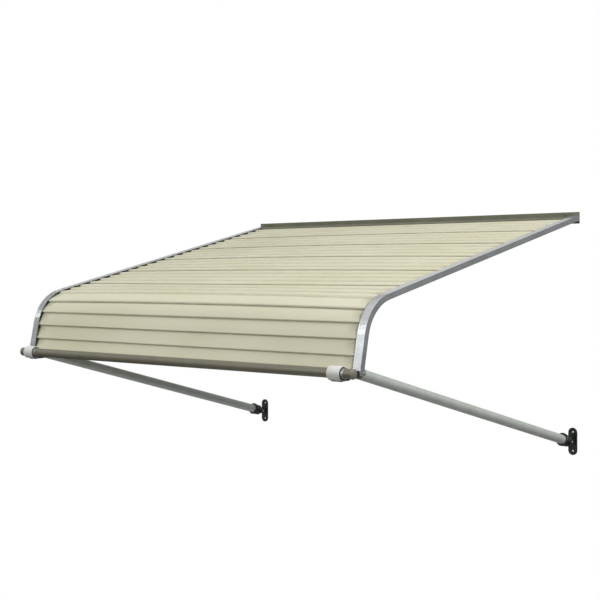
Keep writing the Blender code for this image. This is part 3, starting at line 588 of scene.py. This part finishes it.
collars, sleeves = [], []
for label, way in (("left", -1), ("right", 1)):
    middle = BAR_LINE + way * (SIDE - COLLAR_INSET - HALF) * X_AXIS
    ring = pipe(COLLAR_RADIUS, COLLAR_WALL, -HALF, HALF)
    collars.append(turned(f"{label}_collar_pipe", ring, middle, f"{label}_bar_collar", "canopy",
                          COLLAR_SOFTEN))
    ring = pipe(TUBE_RADIUS + SLEEVE_HEIGHT, SLEEVE_WALL, HALF - SLEEVE_INSIDE,
                HALF + SLEEVE_OUTSIDE)
    sleeves.append(turned(f"{label}_bar_sleeve", ring, middle, None, "canopy", SLEEVE_SOFTEN))
print(len(collars), "collars and", len(sleeves), "sleeves")

# %% [markdown]
# ## Patterns at their real size
#
# Every finish here is made of soft noise: ripples, drift of colour, grain. A noise has no size of
# its own, so its coordinates are divided by the length that one bump has on the real thing, which
# may differ along X, Y and Z. For a sloping tube the axes are turned first. Most of the noise
# lies between 0.3 and 0.7, so that range is stretched over what it has to drive.

# %% Noise by wavelength
MOST = {"From Min": 0.3, "From Max": 0.7}


def ripples(tree, wavelengths, turn=0.0, detail=2.0):
    """Noise whose bumps are about this long, in metres, along axes X, Y and Z turned about X."""
    where = add_node(tree, "TexCoord").outputs["Object"]
    mapping = add_node(tree, "Mapping", {"Vector": where, "Rotation": (turn, 0, 0),
                                         "Scale": wavelengths}, vector_type="TEXTURE")
    return add_node(tree, "TexNoise", {"Vector": mapping.outputs["Vector"], "Scale": 1.0,
                                       "Detail": detail}).outputs["Fac"]


def dress(tree, shader, colour, roughness, relief, height, metallic=0.0):
    """Links the colour and roughness, and a bump whose height is in metres."""
    bump = add_node(tree, "Bump", {"Height": relief, "Distance": height, "Strength": 1.0})
    tree.links.new(bump.outputs["Normal"], shader.inputs["Normal"])
    tree.links.new(colour, shader.inputs["Base Color"])
    tree.links.new(roughness, shader.inputs["Roughness"])
    shader.inputs["Metallic"].default_value = metallic


print("pattern helpers ready")

# %% [markdown]
# ## Almond enamel on the slats
#
# The slats are aluminium coil, painted, baked and then rolled. That gives the eye a satin
# cream, slightly uneven over a hand's width, with an orange peel of 3 mm in its gloss, and dull
# brown dust along the laps that is broken into streaks a few millimetres high. The same brown
# also paints the shade on the laps' risers and the shadow under the frames' flanges. Enamel is not
# metallic. Its roughness starts from 0.4, and its index of refraction is the default of 1.5.

# %% Almond enamel
# The last colour is both the dust's and the painted shade's.
ALMOND_LIGHT, ALMOND_DARK, DUST_AND_SHADE_COLOUR = "#DDDBC1", "#D5D2B5", "#45422C"
ALMOND_DRIFT, STREAKS = (0.35, 0.12, 0.12), (0.05, 0.004, 0.004)
ALMOND_PEEL, ALMOND_HEIGHT = (0.003,) * 3, 0.00004

finishes = {}


def almond_enamel(name):
    """The paint's colour drifts between two tones, and dust and painted shade lie over it where they
    are stored.
    """
    finish, tree, shader = new_finish(name)
    patch = add_node(tree, "MapRange", {"Value": ripples(tree, ALMOND_DRIFT), **MOST})
    paint = add_node(tree, "Mix", {0: patch.outputs["Result"], 6: linear(ALMOND_LIGHT),
                                   7: linear(ALMOND_DARK)}, data_type="RGBA")
    # The stored number is dust and painted shade. It is broken into streaks and mixed in with the
    # last colour.
    dust_and_shade = add_node(tree, "Attribute", attribute_name="dust_and_shade").outputs["Fac"]
    streak = add_node(tree, "MapRange", {"Value": ripples(tree, STREAKS), **MOST,
                                         "To Min": 0.35, "To Max": 0.75})
    broken = add_node(tree, "Math", {0: dust_and_shade, 1: streak.outputs["Result"]}, operation="MULTIPLY")
    dusty_and_shaded = add_node(tree, "Mix", {0: broken.outputs[0], 6: paint.outputs[2],
                                   7: linear(DUST_AND_SHADE_COLOUR)}, data_type="RGBA")
    rough = add_node(tree, "MapRange", {"Value": patch.outputs["Result"],
                                        "To Min": 0.38, "To Max": 0.5})
    dress(tree, shader, dusty_and_shaded.outputs[2], rough.outputs["Result"], ripples(tree, ALMOND_PEEL),
          ALMOND_HEIGHT)
    return finish


finishes["almond_paint"] = almond_enamel("almond baked enamel on rolled sheet")
print(len(finishes["almond_paint"].node_tree.nodes), "nodes in the almond enamel")

# %% [markdown]
# ## Sprayed coats
#
# The rail, the bar and the cast brackets have a sprayed enamel or powder coat. That gives the eye
# an even satin colour that drifts a little over 60 mm, and a fine orange peel of 2 mm. The rail is
# dark olive, the bar taupe, and the castings nearly black.

# %% Sprayed enamel
COAT_DRIFT, COAT_ROUGH_RANGE = (0.06,) * 3, 0.06
COAT_PEEL, COAT_HEIGHT = (0.002,) * 3, 0.00003


def enamel(name, first, second, roughness):
    """Two tones mixed by slow noise, and a fine peel that moves the roughness and the surface."""
    finish, tree, shader = new_finish(name)
    patch = add_node(tree, "MapRange", {"Value": ripples(tree, COAT_DRIFT, detail=4.0), **MOST})
    colour = add_node(tree, "Mix", {0: patch.outputs["Result"], 6: linear(first),
                                    7: linear(second)}, data_type="RGBA")
    peel = ripples(tree, COAT_PEEL)
    rough = add_node(tree, "MapRange", {"Value": peel, **MOST,
                                        "To Min": roughness - COAT_ROUGH_RANGE,
                                        "To Max": roughness + COAT_ROUGH_RANGE})
    dress(tree, shader, colour.outputs[2], rough.outputs["Result"], peel, COAT_HEIGHT)
    return finish


finishes["dark_paint"] = enamel("dark olive enamel", "#5C5C4B", "#6B6A58", 0.45)
finishes["taupe_paint"] = enamel("taupe enamel on tube", "#6A6757", "#736F5E", 0.42)
finishes["black_cast"] = enamel("black enamel on casting", "#1E221F", "#282C29", 0.35)
print(len(finishes), "painted finishes")

# %% [markdown]
# ## Bare metal
#
# The side frames are aluminium as the extrusion press leaves it, the arms are drawn tube, and the
# bolts, nuts, pins and sleeves are zinc plated. Pressing and drawing leave fine lines along the
# length. They are about a tenth of a millimetre apart on the real metal, too fine to show here, so
# they are drawn 1.2 mm apart. Plated zinc has no lines but a fine grain, drawn 0.8 mm wide, and
# weather adds dull clouds of about 40 mm to all of them. The frames still shine and mirror what is
# round them. The arms have a chalky skin that hides most of the metal, so they are nearly matt.
# The index of refraction keeps its default, as for any metal.

# %% Bare metal
CLOUDS, METAL_ROUGH_RANGE, LINE_HEIGHT = (0.04,) * 3, 0.02, 0.000001
ARM_DROP, ARM_REACH = 0.2729, 1.0315
ARM_SLOPE = -math.atan2(ARM_DROP, ARM_REACH)


def bare_metal(name, first, second, wavelengths, roughness, metallic, turn=0.0):
    """Lines and clouds are added up to mix two tones. The clouds also dull the gloss, and the
    lines have a relief of a thousandth of a millimetre."""
    finish, tree, shader = new_finish(name)
    lines = ripples(tree, wavelengths, turn)
    cloud = ripples(tree, CLOUDS, detail=5.0)
    tone = add_node(tree, "Math", {0: lines, 1: cloud}, operation="ADD")
    patch = add_node(tree, "MapRange", {"Value": tone.outputs[0], "From Min": 0.75,
                                        "From Max": 1.25})
    colour = add_node(tree, "Mix", {0: patch.outputs["Result"], 6: linear(first),
                                    7: linear(second)}, data_type="RGBA")
    rough = add_node(tree, "MapRange", {"Value": cloud, **MOST,
                                        "To Min": roughness - METAL_ROUGH_RANGE,
                                        "To Max": roughness + METAL_ROUGH_RANGE})
    dress(tree, shader, colour.outputs[2], rough.outputs["Result"], lines, LINE_HEIGHT, metallic)
    return finish


finishes["mill_aluminium"] = bare_metal("mill finish aluminium, dulled outdoors", "#B4B8BA",
                                        "#C4C7C9", (0.0012, 0.08, 0.05), 0.24, 0.8)
finishes["tube_aluminium"] = bare_metal("drawn aluminium tube, dulled outdoors", "#BDC3BD",
                                        "#CCD1CB", (0.0012, 0.25, 0.0012), 0.45, 0.1, ARM_SLOPE)
finishes["zinc_plate"] = bare_metal("zinc plate, dulled outdoors", "#8E8F8C", "#9C9D9A",
                                    (0.0008, 0.0008, 0.0008), 0.45, 0.7)
print("the arms slope by", round(math.degrees(ARM_SLOPE), 1), "degrees")

# %% [markdown]
# ## Moulded plastic
#
# The collars are white vinyl pipe, and the caps, spacers, bushings and hangers are moulded nylon.
# Moulding gives the eye a colour that is softly mottled over 20 mm, and a fine grained skin that
# breaks up the gloss. The real grain is about 0.1 mm, too fine to show, so it is drawn 0.8 mm
# wide, and 1.6 mm on the larger collars. Vinyl and nylon both have an index of refraction near
# the default of 1.5.

# %% Moulded plastic
MOTTLES, DULLER, SHINIER = (0.02,) * 3, 0.08, 0.05


def moulded(name, first, second, roughness, grain_size):
    """Two tones mixed by mottles, and a grain of this size whose height is a twentieth of it."""
    finish, tree, shader = new_finish(name)
    patch = add_node(tree, "MapRange", {"Value": ripples(tree, MOTTLES, detail=4.0), **MOST})
    colour = add_node(tree, "Mix", {0: patch.outputs["Result"], 6: linear(first),
                                    7: linear(second)}, data_type="RGBA")
    grain = ripples(tree, (grain_size,) * 3)
    rough = add_node(tree, "MapRange", {"Value": grain, **MOST, "To Min": roughness - SHINIER,
                                        "To Max": roughness + DULLER})
    dress(tree, shader, colour.outputs[2], rough.outputs["Result"], grain, grain_size / 20)
    return finish


finishes["white_vinyl"] = moulded("white vinyl pipe", "#E6E7E3", "#DCDDD8", 0.35, 0.0016)
finishes["grey_nylon"] = moulded("grey moulded nylon", "#88867D", "#7A776C", 0.5, 0.0008)
finishes["black_nylon"] = moulded("black moulded nylon", "#24241F", "#2C2C28", 0.5, 0.0008)
print(len(finishes), "finishes")

# %% [markdown]
# ## Put the finishes on
#
# The record says which material slot each CAD node has, so the finishes are named by slot and one
# loop dresses them all. A new piece takes the slot of the node that it stands for, and the two
# sleeves, which stand for none, take the zinc's.

# %% Dress every piece
slots = {part["node"]: part["material_slot"] for part in frame["record"]["subparts"]}
for name, node in nodes.items():
    node.data.materials.clear()
    node.data.materials.append(finishes[slots[name]])
new_pieces = [(piece, "almond_paint") for piece in slats] + [(bar, "taupe_paint")]
new_pieces += [(piece, "white_vinyl") for piece in collars]
new_pieces += [(piece, "zinc_plate") for piece in sleeves]
for piece, slot in new_pieces:
    piece.data.materials.append(finishes[slot])
print(len(finishes), "finishes on", len(nodes) + len(new_pieces), "pieces")
